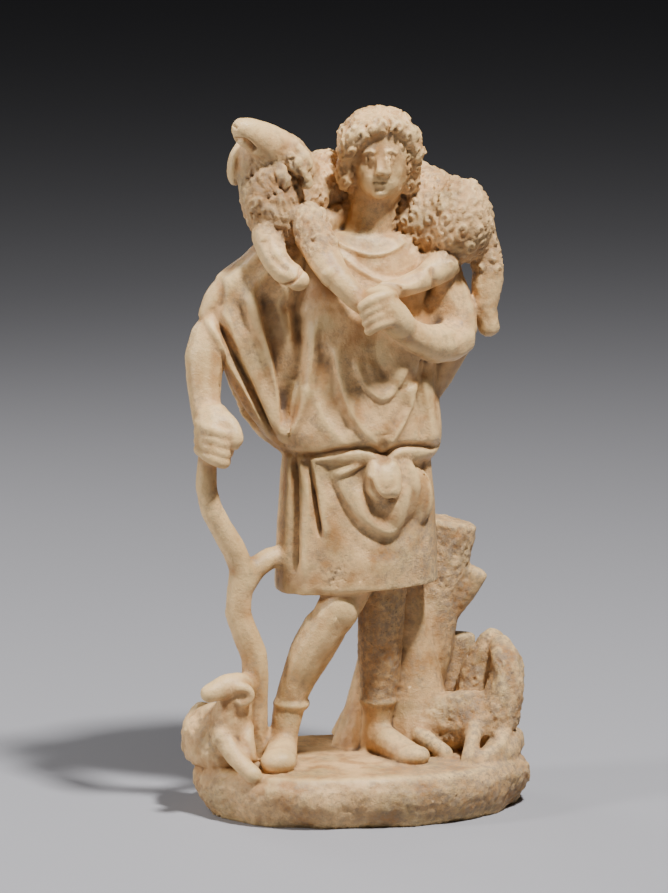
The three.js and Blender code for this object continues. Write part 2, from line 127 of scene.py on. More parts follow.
# The block as it was roughed out: the solid itself, with its facets rubbed away. All later
# forms are laid out on one grid: a step is a millimetre, z counts from the plinth's top, and
# x from the figure's middle, which stands a little to the right of the plinth's.
MM = 0.001
FIGURE_OFFSET = 2
PLINTH_TOP = 35
ROUGH_VOXEL = 1.5
FINE_VOXEL = 0.85
RUBBED_AWAY = 0.7
PIECE_TRIANGLES = 192000


def at(x, y, z):
    """A grid place in metres."""
    return Vector((x + FIGURE_OFFSET, y, z + PLINTH_TOP)) * MM


def applied(thing, kind, **settings):
    """The object's mesh with one modifier worked into it."""
    modifier = thing.modifiers.new(kind, kind)
    for key, value in settings.items():
        setattr(modifier, key, value)
    ready = thing.evaluated_get(bpy.context.evaluated_depsgraph_get())
    mesh = bpy.data.meshes.new_from_object(ready)
    thing.modifiers.clear()
    thing.data = mesh
    return mesh


block_form = bmesh.new()
block_form.from_mesh(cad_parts["statuette"].data)
bmesh.ops.remove_doubles(block_form, verts=block_form.verts, dist=0.02 * MM)
block_mesh = bpy.data.meshes.new("marble_block")
block_form.to_mesh(block_mesh)
block_form.free()
block = bpy.data.objects.new("marble_block", block_mesh)
bpy.context.scene.collection.objects.link(block)
applied(block, "REMESH", mode="VOXEL", voxel_size=ROUGH_VOXEL * MM, adaptivity=0)
applied(block, "SMOOTH", factor=0.5, iterations=16)
applied(block, "DISPLACE", strength=RUBBED_AWAY * MM, mid_level=0)

carving = bmesh.new()


def spline(stations, steps=6):
    """Rows on a smooth curve through the stations."""
    rows = np.array(stations, float)
    rows = np.vstack([2 * rows[0] - rows[1], rows, 2 * rows[-1] - rows[-2]])
    out = []
    for a, b, c, d in zip(rows[:-3], rows[1:-2], rows[2:-1], rows[3:]):
        for t in np.arange(steps) / steps:
            bend = (2 * a - 5 * b + 4 * c - d) * t ** 2 + (3 * b - a - 3 * c + d) * t ** 3
            out.append(0.5 * (2 * b + (c - a) * t + bend))
    return np.array(out + [rows[-2]])


def limb(stations, sides=14, across=(1, 0, 0), dome=0.8, steps=5):
    """A round-ended form along stations of x, y, z and two half widths, on the grid."""
    rows = spline([s if len(s) == 5 else list(s) + [s[3]] for s in stations], steps)
    runs = np.gradient(rows[:, :3], axis=0)
    caps = 3
    count = len(rows) - 1 + 2 * caps
    ball = bmesh.ops.create_uvsphere(carving, u_segments=sides, v_segments=count, radius=1)
    for vert in ball["verts"]:
        row = round(math.acos(max(-1, min(1, vert.co.z))) / math.pi * count)
        angle = math.atan2(vert.co.y, vert.co.x)
        inner = max(0, min(len(rows) - 1, row - caps))
        past = row - caps - inner
        x, y, z, half_a, half_b = rows[inner]
        run = Vector(runs[inner]).normalized()
        a = (Vector(across) - run * run.dot(Vector(across))).normalized()
        b = run.cross(a)
        bend = past / caps * math.pi / 2
        place = Vector((x, y, z)) + run * math.sin(bend) * dome * min(half_a, half_b)
        place += a * math.cos(angle) * math.cos(bend) * half_a
        place += b * math.sin(angle) * math.cos(bend) * half_b
        vert.co = at(*place)


def blob(centre, radii, turn=(0, 0, 0)):
    """An egg-shaped lump: centre and half widths on the grid, turned in degrees."""
    matrix = Matrix.Translation(at(*centre))
    for axis, angle in zip("XYZ", turn):
        matrix = matrix @ Matrix.Rotation(math.radians(angle), 4, axis)
    matrix = matrix @ Matrix.Diagonal([r * MM for r in radii] + [1])
    bmesh.ops.create_icosphere(carving, subdivisions=3, radius=1, matrix=matrix)


DEEP = (0, 1, 0)

# Tunic: smooth cloth lies over the even pleats of the solid, because the real folds are cut
# into it later. The blouse puffs over the belt, whose ends make a full round knot above a
# swag, and the wide sleeve has a thick rim over the arm.
limb([[-2, 3, 214, 50, 33], [-2, 2, 221, 55.5, 38], [-2, 1, 231, 57, 39.5], [-2, 2, 254, 55.5, 38.5],
      [-2, 4, 284, 54, 37.5], [-3, 6, 314, 55, 36], [-1, 8, 340, 53, 32], [2, 9, 358, 46, 28],
      [3, 9, 371, 32, 22]], sides=48, dome=0.15)
limb([[-5, 2, 127, 58, 42], [-5, 2, 149, 57, 41.5], [-5, 2, 170, 56, 40.5], [-5, 2, 198, 54, 38],
      [-5, 2, 218, 52, 35]], sides=48, dome=0.05)
blob((8, -36.5, 203), (12.5, 10.5, 14.5), (0, 10, 0))
blob((-14, -31, 213), (13, 6, 3.2), (0, -24, 0))
limb([[-50, -13, 270, 4], [-55, -12, 248, 5], [-57, -10, 232, 5]])
blob((13, -29.5, 194), (23, 9.5, 30))
blob((31, -21, 188), (15, 10, 23))
blob((16, -26, 289), (19, 9.5, 28))
limb([[-92, 5, 342, 8], [-103, 4, 329, 8.5], [-109, 3, 317, 7.5]])

# Hands: a fist closed over the top of the branch, and a hand whose fingers lie side by side
# over the sheep's gathered legs. Both are carved round, with the fingers only just parted.
for finger in range(4):
    top = 246 - 6.3 * finger
    limb([[-119, -23, top, 4.6], [-113, -35, top - 3, 4.9], [-102 - finger, -37, top - 7, 4.7],
          [-96 - 2 * finger, -29, top - 8, 4.2]], across=DEEP)
limb([[-106, -24, 252, 5.2], [-99, -32, 246, 5.8], [-96, -36, 237, 6.2], [-97, -36, 232, 5]])
for finger in range(4):
    high = 336 - 5.6 * finger
    start = 7 + 1.6 * finger
    limb([[start + 5, -48, high - 1, 4.2], [start - 1, -54.5, high, 4.3], [start - 11, -58, high - 3, 4.1],
          [start - 18, -55, high - 8, 3.4]], across=DEEP)
limb([[24, -37, 308, 9.5], [15, -45.5, 317, 11], [7, -50, 327, 10.5], [0, -51, 332, 8]])

# Head: a plain face of calm, even proportions, turned a little to the viewer's left. Its
# parts are worked out from the face's own height, in thirds, and one eye's width.
HEAD = (11, 2)
HEAD_TURN = math.radians(-9)
CHIN = 399
FACE_THIRD = 15.8
EYE = 6.9
BROW = CHIN + 2 * FACE_THIRD
NOSE_FOOT = CHIN + FACE_THIRD
MOUTH = NOSE_FOOT - FACE_THIRD / 3
FACE_FRONT = 26


def on_head(side, forward, z):
    """A place on the head: sideways, forwards from its middle, and its height."""
    cos, sin = math.cos(HEAD_TURN), math.sin(HEAD_TURN)
    return (HEAD[0] + side * cos + forward * sin, HEAD[1] + side * sin - forward * cos, z)


limb([[*on_head(0, FACE_FRONT - 3, BROW + 1), 2.6], [*on_head(0, FACE_FRONT + 1.5, BROW - 7), 2.3],
      [*on_head(0, FACE_FRONT + 4.5, NOSE_FOOT + 3), 2.9]])
blob(on_head(0, FACE_FRONT - 14, CHIN + 14), (15.5, 16.5, 16))
blob(on_head(0, FACE_FRONT - 5, CHIN + 5), (6.5, 6, 5.5))
for side in (-1, 1):
    blob(on_head(side * 2.3, FACE_FRONT + 1.6, NOSE_FOOT + 2.2), (1.9, 3, 2.2))
    blob(on_head(side * 9, FACE_FRONT - 11, NOSE_FOOT + 4.5), (7.5, 9.5, 11))
blob(on_head(0, FACE_FRONT - 1.6, MOUTH + 1.5), (6.2, 3.2, 1.9))
blob(on_head(0, FACE_FRONT - 2, MOUTH - 1.8), (5.2, 3.3, 2))
blob((-14, -5, 416), (6, 8, 13))
limb([[-9, -15, 437, 6], [0, -20, 446, 6], [11, -22, 449, 6], [22, -20, 446, 6], [30, -14, 436, 6]])

# Sheep across the shoulders: a smooth bare muzzle, lop ears over a drilled hollow, a shaggy
# breast, a broad woolly rump, and legs drawn to the hand that end in small rounded hooves.
limb([[-52, -4, 424, 12], [-66, -13, 436, 10.5], [-79, -21.5, 444.5, 8.8], [-89, -29, 449, 8]],
     across=DEEP, dome=1)
limb([[-82, -2, 440, 4, 5], [-90, -2, 428, 4.5, 6.5], [-92, -1, 416, 4, 6], [-91, -1, 410, 3, 4]])
limb([[-75, -8, 437, 10], [-79, -5, 424, 10.5], [-79, -4, 410, 9.5]])
limb([[-58, -15, 433, 4], [-52, -20, 425, 5.5], [-46, -21, 416, 5.2], [-42, -20, 409, 3.5]])
limb([[-64, -18, 424, 3.5], [-61, -21.5, 416, 4.4], [-58, -21, 409, 3]])
limb([[18, 40, 409, 18, 15], [36, 32, 402, 20, 19], [52, 20, 392, 22, 22]], across=DEEP)
blob((66, -2, 380), (23, 22, 30), (0, 12, 0))
blob((-22, 26, 410), (22, 18, 18))
limb([[-44, 2, 372, 16], [-26, 10, 381, 14], [-8, 15, 389, 13]])
limb([[-44, -14, 386, 12], [-37, -27, 364, 10.5], [-28, -38, 347, 8.5]])
limb([[84, 12, 366, 12], [90.5, 10, 338, 10.5], [88, 8, 318, 8], [90, 7, 303, 7.5]])
for x, y, z in ((-52, -36, 345), (-66, -27, 361), (-30, -38, 350)):
    blob((x, y, z), (8, 8, 7.5))

# Boots, stump and branch: soft boots with a rolled cuff and round toes, a sawn stump that
# spreads into the plinth behind the leg, and the lopped shoots of stump and branch.
for x, y, z, half in ((-53, -9, 42, 13.4), (12, 10, 38, 14.2)):
    limb([[x, y, z - 4, half - 2], [x, y, z, half], [x, y, z + 4, half - 2]], dome=0.1)
blob((-67, -41, 8), (13, 11, 9))
blob((31, -29, 6), (12, 11, 7.5), (0, 0, -28))
blob((-20, -26, 112), (13, 11, 15))
limb([[-30, -17, 98, 15.5], [-40, -13, 78, 15], [-47, -10, 62, 12.5]])
limb([[30, 29, 126, 14], [33, 28, 98, 18], [37, 27, 62, 21], [41, 24, 28, 24], [43, 20, 4, 27]], sides=24)
limb([[22, 31, 120, 8], [16, 30, 92, 10], [11, 30, 60, 11], [5, 30, 30, 13], [0, 30, 0, 18]])
limb([[46, 30, 30, 14], [42, 14, 18, 13], [36, 4, 8, 11]])
limb([[76, 47, 75, 13, 8], [75, 47, 56, 15, 9], [70, 46, 30, 19, 12], [66, 44, 0, 25, 15]], dome=0.3)
limb([[-82, -10, 30, 10], [-84, -4, 8, 15], [-88, 4, -4, 20]])

# Lying animals: the ram at the left end with a low curled horn, the lamb at the right end
# with its worn head laid back over the rock. Their legs fold over the rim of the plinth.
for stations in (
    [[-98, -14, 18, 16], [-95, -18, 38, 14], [-92, -20, 54, 10.5]],
    [[-112, 18, 12, 16], [-110, 0, 12, 18], [-101, -16, 12, 16]],
    [[-112, 22, 30, 9], [-119, 10, 22, 9], [-118, -6, 13, 8], [-107, -18, 7, 6]],
    [[-116, 4, 22, 13], [-113, -8, 14, 12]],
    [[60, 12, 14, 16], [76, 6, 20, 18], [92, -2, 20, 17]],
    [[98, -4, 26, 14], [102, -4, 46, 12.5], [105, 2, 62, 10], [100, 12, 74, 9]],
    [[84, 24, 26, 16], [90, 24, 52, 15.5], [95, 20, 70, 12]],
    [[104, 6, 6, 13], [96, -18, 4, 12], [84, -30, 0, 10]],
):
    limb(stations)
blob((-91, -30, 54), (5.5, 4, 6))
limb([[-91 + 5.4 * math.cos(a), -32.5, 54 + 6.4 * math.sin(a), 2.7 - 0.15 * i]
      for i, a in enumerate(math.radians(120 - 52 * k) for k in range(6))], across=DEEP)

# One skin: the forms are fused with the block and rubbed down, as a carver's rasp does.
carving_mesh = bpy.data.meshes.new("carving")
carving.to_mesh(carving_mesh)
carving.free()
joined = bmesh.new()
joined.from_mesh(block.data)
joined.from_mesh(carving_mesh)
joined_mesh = bpy.data.meshes.new("statuette_marble")
joined.to_mesh(joined_mesh)
joined.free()
bpy.data.objects.remove(block)
marble = bpy.data.objects.new("statuette_marble", joined_mesh)
bpy.context.scene.collection.objects.link(marble)
applied(marble, "REMESH", mode="VOXEL", voxel_size=FINE_VOXEL * MM, adaptivity=0)
applied(marble, "SMOOTH", factor=0.5, iterations=5)

count = len(marble.data.vertices)
spots = np.empty(count * 3)
marble.data.vertices.foreach_get("co", spots)
spots = spots.reshape(-1, 3) / MM - (FIGURE_OFFSET, 0, PLINTH_TOP)
facing = np.empty(count * 3)
marble.data.vertex_normals.foreach_get("vector", facing)
facing = facing.reshape(-1, 3)
lift = np.zeros(count)

random = np.random.default_rng(7)
tree = kdtree.KDTree(count)
for i, place in enumerate(spots):
    tree.insert(place, i)
tree.balance()


FOLD_DEPTH = 1.65


def stroke(points, widths, height, view=0, deep=(-999, 999), fade=0.15):
    """A fold, or with a negative height a groove, seen from an angle in degrees. Points are
    across and up; widths are to the left and right of a stroke that runs down; deep is how
    far towards the viewer the surface may lie; fade is the share that runs out at each end.
    Every stroke is worked FOLD_DEPTH times as deep as its height says."""
    turn = math.radians(view)
    right = np.array((math.cos(turn), math.sin(turn)))
    ahead = np.array((math.sin(turn), -math.cos(turn)))
    path = spline(points, 4)
    flat = np.column_stack([spots[:, :2] @ right, spots[:, 2]])
    forward = spots[:, :2] @ ahead
    margin = 2.4 * np.max(widths)
    near = (flat > path.min(0) - margin).all(1) & (flat < path.max(0) + margin).all(1)
    near = np.nonzero(near & (facing[:, :2] @ ahead > 0.1) & (forward > deep[0]) & (forward < deep[1]))[0]
    passed = np.concatenate([[0], np.cumsum(np.linalg.norm(np.diff(path, axis=0), axis=1))])
    best = np.full(len(near), 1e9)
    width = np.ones(len(near))
    along = np.zeros(len(near))
    for i, (start, end) in enumerate(zip(path[:-1], path[1:])):
        run = end - start
        share = np.clip((flat[near] - start) @ run / max(run @ run, 1e-9), 0, 1)
        gap = flat[near] - start - share[:, None] * run
        away = (gap ** 2).sum(1)
        closer = away < best
        best[closer] = away[closer]
        on_right = run[0] * gap[:, 1] - run[1] * gap[:, 0] > 0
        width[closer] = np.where(on_right, np.max(widths[-1:]), widths[0])[closer]
        along[closer] = ((passed[i] + share * (passed[i + 1] - passed[i])) / passed[-1])[closer]
    ends = np.clip(np.minimum(along, 1 - along) / max(fade, 1e-6), 0, 1)
    lift[near] += FOLD_DEPTH * height * np.exp(-best / width ** 2) * ends * (2 - ends)


def near_form(points, stations, spread=1.15):
    """How surely points lie on a form along stations of x, y, z and half width."""
    path = spline(stations, 2)
    best = np.full(len(points), 9.0)
    for start, end in zip(path[:-1], path[1:]):
        run = end[:3] - start[:3]
        share = np.clip((points - start[:3]) @ run / max(run @ run, 1e-9), 0, 1)
        gap = np.linalg.norm(points - start[:3] - share[:, None] * run, axis=1)
        best = np.minimum(best, gap / (start[3] + share * (end[3] - start[3])))
    return np.clip((spread + 0.15 - best) / 0.3, 0, 1)


def locks(mask, gap, size, height, roll=0.0, long=1.3):
    """Overlapping locks that hang over a masked part: round tufts, or snail curls."""
    chosen = []
    for i in random.permutation(np.nonzero(mask > 0.3)[0])[:5000]:
        if not chosen or np.linalg.norm(spots[chosen] - spots[i], axis=1).min() > gap:
            chosen.append(i)
    relief = np.zeros(count)
    for i in chosen:
        down = np.array((0, 0, -1)) + facing[i] * facing[i][2] + 1e-4
        down /= np.linalg.norm(down)
        aside = np.cross(facing[i], down)
        swing = random.uniform(-0.7, 0.7)
        along = down * math.cos(swing) + aside * math.sin(swing)
        across = np.cross(facing[i], along)
        reach = size * random.uniform(0.8, 1.25)
        found = np.array([index for _, index, _ in tree.find_range(spots[i], reach * long)])
        away = spots[found] - spots[i]
        down_share, side_share = away @ along / (reach * long), away @ across / reach
        share = np.hypot(down_share, side_share)
        turn = np.cos(9 * share - np.arctan2(side_share, down_share) * random.choice((-1, 1)))
        form = np.clip(1 - share ** 2, 0, 1) ** 0.6 * (1 + roll * turn)
        relief[found] = np.maximum(relief[found], height * random.uniform(0.7, 1.1) * form)
    lift[:] += mask * (relief - 0.75 * height)


def drill(place, width, depth):
    """A round hole sunk at the surface point nearest to a place."""
    centre, nearest, gap = tree.find(place)
    for here, i, away in tree.find_range(centre, 2.5 * width):
        spots[i] -= facing[nearest] * depth * math.exp(-(away / width) ** 2)


# Drapery: each fold has a steep side and a gentle one. On the blouse they fan from the left
# of the waist and hang from the raised arm to the knot; the skirt has two pleats and a swag.
# Each part's two numbers say how far forward its cloth lies.
BLOUSE = (4, 44)
SLEEVE = (-22, 30)
SKIRT = (-4, 50)
for part, line, widths, height in (
    (SLEEVE, [(-113, 318), (-100, 292), (-88, 270), (-65, 229)], (2.2, 3.2), 1.8),
    (SLEEVE, [(-107, 322), (-94, 292), (-79, 262), (-63, 230)], (2.2, 2.2), -1.8),
    (SLEEVE, [(-101, 325), (-86, 290), (-71, 256), (-60, 230)], (2.4, 5.0), 1.9),
    (SLEEVE, [(-90, 330), (-78, 296), (-67, 262), (-60, 236)], (3.4, 3.4), -1.3),
    (SLEEVE, [(-81, 336), (-74, 305), (-67, 280), (-59, 232)], (7.0, 2.0), 2.2),
    (SLEEVE, [(-75, 336), (-67, 304), (-58, 240)], (2.8, 7.0), -1.2),
    (BLOUSE, [(-37, 314), (-40, 282), (-46, 252), (-57, 226)], (7.0, 2.4), 2.0),
    (BLOUSE, [(-48, 322), (-51, 282), (-57, 240)], (6.0, 6.0), -1.2),
    (BLOUSE, [(-26, 300), (-19, 264), (-8, 241), (6, 228)], (2.4, 8.0), 2.0),
    (BLOUSE, [(-31, 294), (-27, 262), (-15, 238)], (6.0, 3.0), -1.2),
    (BLOUSE, [(-42, 272), (-35, 252), (-26, 238), (-14, 227)], (6.0, 2.6), 1.1),
    (BLOUSE, [(-12, 290), (-6, 273), (3, 263), (10, 262), (18, 270), (25, 284)], (2.2, 7.0), 1.5),
    (BLOUSE, [(31, 272), (27, 256), (19, 240), (10, 228)], (7.0, 2.4), 2.0),
    (BLOUSE, [(24, 258), (16, 244), (10, 234)], (4.0, 4.0), -1.1),
    (BLOUSE, [(37, 276), (41, 250), (45, 226)], (2.6, 6.5), 1.5),
    (BLOUSE, [(32, 266), (36, 246), (37, 230)], (3.0, 3.0), -0.9),
    (BLOUSE, [(8, 238), (8, 221)], (6.0, 6.0), -1.3),
    (BLOUSE, [(-60, 221), (-40, 221), (-20, 226), (-2, 227), (8, 221), (20, 227), (36, 226), (56, 221)],
     (2.0, 2.6), -2.6),
    (SKIRT, [(-51.5, 221), (-51, 190), (-52, 138)], (2.2, 1.4), -2.6),
    (SKIRT, [(-47, 221), (-46, 190), (-47, 134)], (1.8, 5.0), 1.1),
    (SKIRT, [(-44, 221), (-40, 196), (-35, 164)], (2.6, 1.3), -2.3),
    (SKIRT, [(-40, 221), (-36, 196), (-32, 164)], (1.6, 5.0), 1.2),
    (SKIRT, [(-31, 214), (-24, 195), (-13, 176), (0, 165), (12, 160), (22, 164), (30, 178), (33, 198)],
     (5.0, 5.0), -1.5),
    (SKIRT, [(-28, 212), (-20, 195), (-10, 180), (2, 171), (12, 168), (19, 173), (23, 188), (24, 204)],
     (3.0, 8.5), 1.6),
    (SKIRT, [(-28, 186), (-14, 163), (4, 152), (22, 153)], (5.0, 5.0), -0.9),
    (SKIRT, [(-4, 208), (0, 198), (7, 191), (17, 191)], (1.3, 1.3), -1.8),
    (SKIRT, [(40, 216), (41, 190), (38, 150)], (4.5, 3.0), -1.2),
    (BLOUSE, [(-31, 374), (-15, 364), (2, 359), (16, 361), (28, 367)], (1.5, 3.2), 1.3),
    (BLOUSE, [(-26, 366), (-8, 350), (14, 340), (34, 338)], (1.8, 4.5), 0.9),
    (BLOUSE, [(-14, 362), (2, 348), (22, 344), (38, 350)], (2.4, 2.4), -0.7),
    (BLOUSE, [(42, 352), (45, 336), (40, 322)], (2.4, 2.4), -1.3),
):
    stroke(line, widths, height, deep=part)
for x in range(-50, 60, 11):
    stroke([(x * 0.8, 214), (x, 170), (x * 1.1, 130)], (2.0, 4.5), -1.8, view=180, deep=(4, 60))
    stroke([(x * 0.5, 226), (x * 0.8, 270), (x, 340)], (4.5, 2.0), -1.8, view=180, deep=(4, 60))

# Face: sockets, lids, mouth and nostrils, cut with light strokes seen from the face's side.
face_middle = HEAD[0] * math.cos(HEAD_TURN) + HEAD[1] * math.sin(HEAD_TURN)


def face_stroke(points, width, height, fade=0.15):
    """A stroke on the face: points are sideways from its middle, and their height."""
    line = [(face_middle + side, z) for side, z in points]
    stroke(line, (width, width), height, view=math.degrees(HEAD_TURN), deep=(6, 60), fade=fade)


for side in (-1, 1):
    face_stroke([(side * (EYE - 1.5), BROW - 5), (side * (EYE + 1.8), BROW - 5)], 3.2, -1.4, fade=0)
    face_stroke([(side * 2.6, BROW - 0.2), (side * EYE, BROW + 1.2), (side * 12.5, BROW - 1.2)], 1.4, 0.9)
    face_stroke([(side * (EYE - 1), BROW - 5), (side * (EYE + 1), BROW - 5)], 2.1, 1.2, fade=0)
    face_stroke([(side * 3.6, BROW - 5.2), (side * EYE, BROW - 3), (side * 10.4, BROW - 5.2)], 0.9, 0.7)
    face_stroke([(side * 3.9, BROW - 5.8), (side * EYE, BROW - 7.4), (side * 10.2, BROW - 5.8)], 0.9, 0.5)
    face_stroke([(side * 5, BROW - 10), (side * 5.6, NOSE_FOOT + 2), (side * 6, NOSE_FOOT)], 1.7, -0.4)
    face_stroke([(side * 1.4, NOSE_FOOT + 0.4), (side * 1.8, NOSE_FOOT + 0.2)], 0.8, -1.0, fade=0)
face_stroke([(-5.2, MOUTH), (-2, MOUTH + 0.4), (0, MOUTH), (2, MOUTH + 0.4), (5.2, MOUTH)], 0.7, -1.2)
face_stroke([(0, NOSE_FOOT - 1), (0, MOUTH + 3.5)], 0.9, -0.4)
face_stroke([(-3.5, MOUTH - 4.8), (3.5, MOUTH - 4.8)], 1.5, -0.8)

# Sheep's mouth and ears, and the grooves between leg and leg, in the same light strokes.
for line, width, height in (
    ([(-98, 441.5), (-92, 441.5), (-86.5, 440.5), (-80, 434)], 1.3, -2.6),
    ([(-96, 452), (-93.5, 450)], 0.8, -0.9),
    ([(-56, 428), (-50, 418), (-45, 410)], 1.4, -1.2),
    ([(-62, 341), (-55, 346), (-49, 354)], 1.0, -1.4),
    ([(-74, 372), (-69, 360), (-60, 352)], 2.0, -0.7),
    ([(84, 330), (88, 318), (89, 306)], 2.2, -0.8),
):
    stroke(line, (width, width), height, deep=(8, 60), fade=0)

# Wool, hair and rock: drilled locks, each laid over the next, on fleece and head; coarse
# bark at the top of the stump; a picked surface on the plinth's sides.
FLEECE = (
    [[-42, 12, 400, 27], [-20, 27, 402, 26], [8, 38, 402, 23], [34, 30, 396, 26], [54, 12, 382, 33],
     [72, 4, 378, 30]],
    [[60, -4, 356, 13], [54, -9, 353, 11]],
    [[82, 11, 372, 17], [90, 10, 352, 12]],
)
SHAGGY = (
    [[-58, -10, 424, 17], [-64, -9, 404, 23], [-58, -8, 384, 21]],
    [[-42, -14, 386, 13], [-36, -26, 368, 11]],
)
LAMB = ([[56, 12, 16, 20], [78, 6, 22, 22], [98, -4, 26, 17], [104, 0, 58, 13]],
        [[86, 24, 34, 18], [95, 22, 66, 15]])
RAM = (
    [[-98, -14, 16, 19], [-95, -18, 38, 16], [-90, -18, 54, 11]],
    [[-112, 18, 14, 19], [-108, -8, 14, 21]],
)
MUZZLE = ([[-68, -14, 440, 14], [-88, -29, 450, 11]],)
STUMP = ([[26, 42, 0, 44], [38, 41, 48, 32], [52, 39, 90, 24], [67, 38, 160, 23]],)
STRAIGHT_LEG = ([[14, 3, 118, 19], [13, 9, 70, 18], [12, 10, 46, 15]],)
HIND_LEG = ([[88, 10, 350, 13], [89, 8, 305, 12]],)


def masked(points, forms):
    """How surely points lie on any of some forms."""
    return np.max([near_form(points, stations) for stations in forms], axis=0)


def hair_of(points):
    """How surely points lie on the hair: round the head, but not on the face or neck."""
    offset = points[:, :2] - HEAD
    side = offset @ (math.cos(HEAD_TURN), math.sin(HEAD_TURN))
    forward = offset @ (math.sin(HEAD_TURN), -math.cos(HEAD_TURN))
    face = np.where(forward > 3, (side / 17) ** 2 + ((points[:, 2] - 416) / 25) ** 2, 9)
    foot = points[:, 2] - 399 - np.clip(points[:, 1] - 6, 0, 24)
    throat = np.where((np.abs(side) < 18) & (points[:, 2] < 404), -1, 1)
    head = near_form(points, [[8, 4, 430, 36], [11, 6, 410, 40]])
    return head * np.clip((face - 1) * 3, 0, 1) * np.clip(foot / 3, 0, 1) * np.clip(throat, 0, 1)


bare = masked(spots, MUZZLE)
fleece = masked(spots, FLEECE) * (1 - bare)
shaggy = masked(spots, SHAGGY) * (1 - bare)
lamb_wool = masked(spots, LAMB)
ram_wool = masked(spots, RAM)
hair = hair_of(spots)
fleece *= (1 - hair) * (1 - shaggy)
stump = masked(spots, STUMP) * np.clip((spots[:, 2] - 70) / 50, 0.2, 1)
side_rock = np.clip((-spots[:, 2] - 1) / 5, 0, 1)
rock_end = np.clip((np.abs(spots[:, 0]) - 95) / 15, 0, 1) * np.clip((50 - spots[:, 2]) / 20, 0, 1)
locks(fleece, 7.8, 7.8, 3.0, roll=0.3, long=1.25)
locks(shaggy, 6.4, 5.8, 3.4, roll=0.2, long=2.4)
locks(lamb_wool, 6.0, 6.0, 1.8, roll=0.15)
locks(ram_wool, 6.0, 5.6, 1.3, roll=0.15)
locks(hair, 7.0, 6.2, 3.0, roll=0.4, long=1.6)
grain = np.array([noise.fractal(Vector(place) * 0.22, 0.9, 2.1, 4) for place in spots])
swell = np.array([noise.noise(Vector(place) * 0.045) for place in spots])
straight_leg = masked(spots, STRAIGHT_LEG)
rough = 0.16 + 0.4 * fleece + 0.5 * shaggy + 0.5 * lamb_wool + 0.8 * stump
rough += 0.55 * side_rock + 0.5 * rock_end + 0.45 * straight_leg
rough += 0.3 * masked(spots, HIND_LEG)
lift += grain * rough + swell * (0.5 + 1.8 * side_rock + 1.2 * rock_end)
spots += facing * lift[:, None]

# Drill and wear: deep holes between the locks, a cluster of pits on the skirt, small pits all
# over, and hollows under the sheep's ear and beside the lamb's head. The underside is flat.
FLAT_FOOT = 1.2
for mask, holes, width, depth in ((fleece, 16, 1.0, 1.8), (shaggy, 14, 1.2, 3.0), (hair, 26, 1.0, 2.4),
                                  (lamb_wool, 12, 1.1, 1.8), (stump, 14, 1.2, 1.5)):
    for i in random.choice(np.nonzero((mask > 0.8) & (facing[:, 1] < 0.3))[0], holes, replace=False):
        drill(spots[i], width * random.uniform(0.8, 1.2), depth)
for i in random.integers(0, count, 130):
    drill(spots[i], random.uniform(0.9, 1.5), random.uniform(0.2, 0.5))
for i in range(26):
    drill((-25 + random.normal(0, 5), -40, 136 + random.normal(0, 5)), 0.8, 0.7)
drill((-51, -22, 411), 3.0, 6.5)
drill((-40, -24, 418), 1.4, 2.4)
drill((92, 6, 66), 4.0, 3.0)

spots[spots[:, 2] < FLAT_FOOT - PLINTH_TOP, 2] = -PLINTH_TOP
marble.data.vertices.foreach_set("co", ((spots + (FIGURE_OFFSET, 0, PLINTH_TOP)) * MM).ravel())
marble.data.update()
faces = sum(len(p.vertices) - 2 for p in marble.data.polygons)
applied(marble, "DECIMATE", ratio=PIECE_TRIANGLES / faces)

# Finish: fine marble, once smooth and white, now weathered to a warm honey tone that glows a
# little. Raised edges are worn pale and painted lighter as a highlight, brown earth and painted
# shade lie in the hollows, and dark dirt and deeper painted shade lie in the deepest hollows
# and drilled holes. A grey speckled crust has grown on the lower right, on the straight leg and
# on the wool.
CREAM = "#DAB07A"
HONEY = "#B08654"
OLIVE = "#AB9A6C"
RUST = "#9C6631"
GRIME = "#8A745A"
# Pale tone of worn edges, also a painted highlight on raised parts.
WORN_AND_HIGHLIGHT = "#E8C68C"
# Brown earth in the hollows, also painted shade.
EARTH_AND_SHADE = "#6E4E2F"
# Dark dirt in the deepest hollows and drilled holes, also painted shade.
DIRT_AND_SHADE = "#352418"
CRUST = "#8F7C66"
SPECK = "#4C4038"
FACE_FORM = [[9, -22, 426, 17], [9, -21, 408, 15]]
CLEAN_STUMP = ([[38, 24, 100, 16], [44, 20, 20, 24]],)
marble.data.polygons.foreach_set("use_smooth", np.ones(len(marble.data.polygons), bool))
total = len(marble.data.vertices)
skin = np.empty(total * 3)
marble.data.vertices.foreach_get("co", skin)
skin = skin.reshape(-1, 3) / MM - (FIGURE_OFFSET, 0, PLINTH_TOP)
outward = np.empty(total * 3)
marble.data.vertex_normals.foreach_get("vector", outward)
outward = outward.reshape(-1, 3)
edges = np.empty(len(marble.data.edges) * 2, int)
marble.data.edges.foreach_get("vertices", edges)
ends = np.concatenate([edges.reshape(-1, 2), edges.reshape(-1, 2)[:, ::-1]])
valence = np.bincount(ends[:, 0], minlength=total)[:, None]


def rubbed(values, turns):
    """Values averaged with their neighbours, a number of times."""
    for _ in range(turns):
        sums = [np.bincount(ends[:, 0], values[ends[:, 1], k], total) for k in range(values.shape[1])]
        values = 0.5 * values + 0.5 * np.column_stack(sums) / valence
    return values
